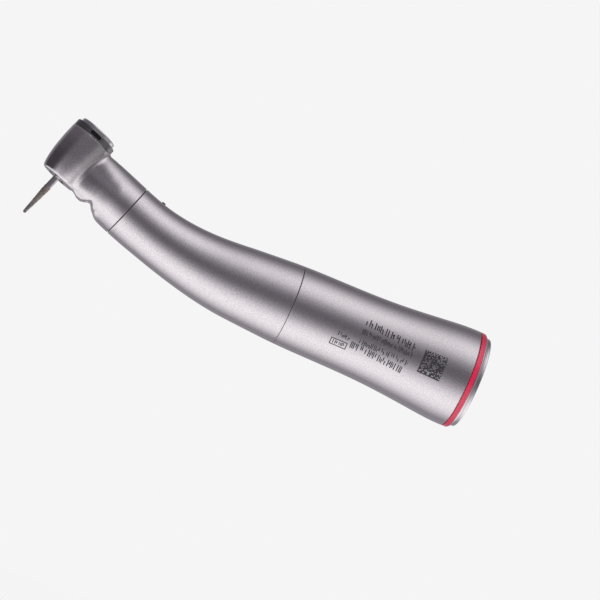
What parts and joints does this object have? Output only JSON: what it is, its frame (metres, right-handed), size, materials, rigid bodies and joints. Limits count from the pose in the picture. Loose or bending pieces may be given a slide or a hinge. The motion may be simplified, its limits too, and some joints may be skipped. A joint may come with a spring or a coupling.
{
  "type": "contra-angle dental handpiece",
  "caption": "Bent dental handpiece with a small push-button head, fitted diamond bur, light window, red speed ring and an open rear coupling for a motor.",
  "frame": {"origin": "centre of the coupling mouth on the rear end face", "axes": "+X along the handle axis, out of the motor coupling; head towards -X; +Z on the push-button side; neck and bur axis lie in the XZ plane"},
  "size_m": [0.0921, 0.0196, 0.0271],
  "materials": {
    "bearing_steel": "ground",
    "cage_plastic": "matt",
    "dark_steel": "satin, darker",
    "gear_steel": "hardened, ground",
    "grit": "rough, grit coated",
    "light_glass": "clear",
    "polished_steel": "polished",
    "red_ring": "gloss",
    "satin_steel": "satin, fine blasted",
    "seal_rubber": "matt",
    "spring_steel": "drawn wire"
  },
  "bodies": {
    "handpiece": {"head_housing": "satin_steel", "spray_nozzles": "polished_steel", "light_window": "light_glass", "head_orings": "seal_rubber", "cap_ring": "dark_steel", "button_spring": "spring_steel", "wave_washer": "spring_steel", "spindle_front_outer_race": "bearing_steel", "spindle_rear_outer_race": "bearing_steel", "countershaft_housing": "polished_steel", "countershaft_front_outer_race": "bearing_steel", "countershaft_rear_outer_race": "bearing_steel", "light_guide": "light_glass", "water_tube": "polished_steel", "air_tube": "polished_steel", "neck_joint_ring": "polished_steel", "neck_sheath": "satin_steel", "neck_plug": "dark_steel", "rear_sleeve": "satin_steel", "sleeve_oring": "seal_rubber", "drive_housing": "polished_steel", "drive_front_outer_race": "bearing_steel", "drive_rear_outer_race": "bearing_steel", "bearing_nut": "polished_steel", "coupling_bush": "polished_steel", "retaining_ring": "spring_steel", "coupling_oring": "seal_rubber", "colour_ring": "red_ring", "end_ring": "polished_steel"},
    "push_button": {"push_button": "polished_steel"},
    "drive_line": {"drive_shaft": "polished_steel", "ring_gear": "gear_steel", "ring_gear_hub": "gear_steel", "drive_front_inner_race": "bearing_steel", "drive_rear_inner_race": "bearing_steel", "drive_spacer": "polished_steel", "dog_pin": "polished_steel", "dog_spring": "spring_steel"},
    "drive_dog": {"drive_dog": "dark_steel"},
    "drive_ball_set": {"drive_balls": "bearing_steel", "drive_cages": "cage_plastic"},
    "countershaft": {"countershaft": "polished_steel", "crown_gear": "gear_steel", "countershaft_pinion": "gear_steel", "countershaft_front_inner_race": "bearing_steel", "countershaft_rear_inner_race": "bearing_steel", "countershaft_spacer": "polished_steel"},
    "countershaft_ball_set": {"countershaft_balls": "bearing_steel", "countershaft_cages": "cage_plastic"},
    "spindle": {"spindle": "polished_steel", "spindle_pinion": "gear_steel", "chuck_sleeve": "polished_steel", "spindle_front_inner_race": "bearing_steel", "spindle_rear_inner_race": "bearing_steel"},
    "spindle_ball_set": {"spindle_balls": "bearing_steel", "spindle_cages": "cage_plastic"},
    "bur": {"bur_shank": "polished_steel", "bur_diamond": "grit"}
  },
  "joints": [
    {"name": "drive_spin", "type": "hinge", "parent": "handpiece", "child": "drive_line", "pos_m": [-0.04, 0, 0], "axis": [1, 0, 0], "continuous": true},
    {"name": "dog_slide", "type": "slide", "parent": "drive_line", "child": "drive_dog", "axis": [-1, 0, 0], "range_m": [0, 0.0015], "stiffness_N_per_m": 400, "deforming": ["dog_spring"]},
    {"name": "drive_balls_spin", "type": "hinge", "parent": "handpiece", "child": "drive_ball_set", "pos_m": [-0.04, 0, 0], "axis": [1, 0, 0], "continuous": true},
    {"name": "countershaft_spin", "type": "hinge", "parent": "handpiece", "child": "countershaft", "pos_m": [-0.08718, 0, 0.00917], "axis": [0.9397, 0, -0.342], "continuous": true},
    {"name": "countershaft_balls_spin", "type": "hinge", "parent": "handpiece", "child": "countershaft_ball_set", "pos_m": [-0.08718, 0, 0.00917], "axis": [0.9397, 0, -0.342], "continuous": true},
    {"name": "spindle_spin", "type": "hinge", "parent": "handpiece", "child": "spindle", "pos_m": [-0.08718, 0, 0.00917], "axis": [0.342, 0, 0.9397], "continuous": true},
    {"name": "spindle_balls_spin", "type": "hinge", "parent": "handpiece", "child": "spindle_ball_set", "pos_m": [-0.08718, 0, 0.00917], "axis": [0.342, 0, 0.9397], "continuous": true},
    {"name": "bur_release", "type": "slide", "parent": "spindle", "child": "bur", "axis": [-0.342, 0, -0.9397], "range_m": [0, 0.0098]},
    {"name": "button_press", "type": "slide", "parent": "handpiece", "child": "push_button", "axis": [-0.342, 0, -0.9397], "range_m": [0, 0.0004], "stiffness_N_per_m": 1500, "deforming": ["button_spring"]}
  ],
  "couplings": [
    {"joint": "drive_balls_spin", "follows": "drive_spin", "ratio": 0.3902},
    {"joint": "countershaft_spin", "follows": "drive_spin", "ratio": 4},
    {"joint": "countershaft_balls_spin", "follows": "drive_spin", "ratio": 1.5814},
    {"joint": "spindle_spin", "follows": "drive_spin", "ratio": -5},
    {"joint": "spindle_balls_spin", "follows": "drive_spin", "ratio": -2.0217}
  ]
}
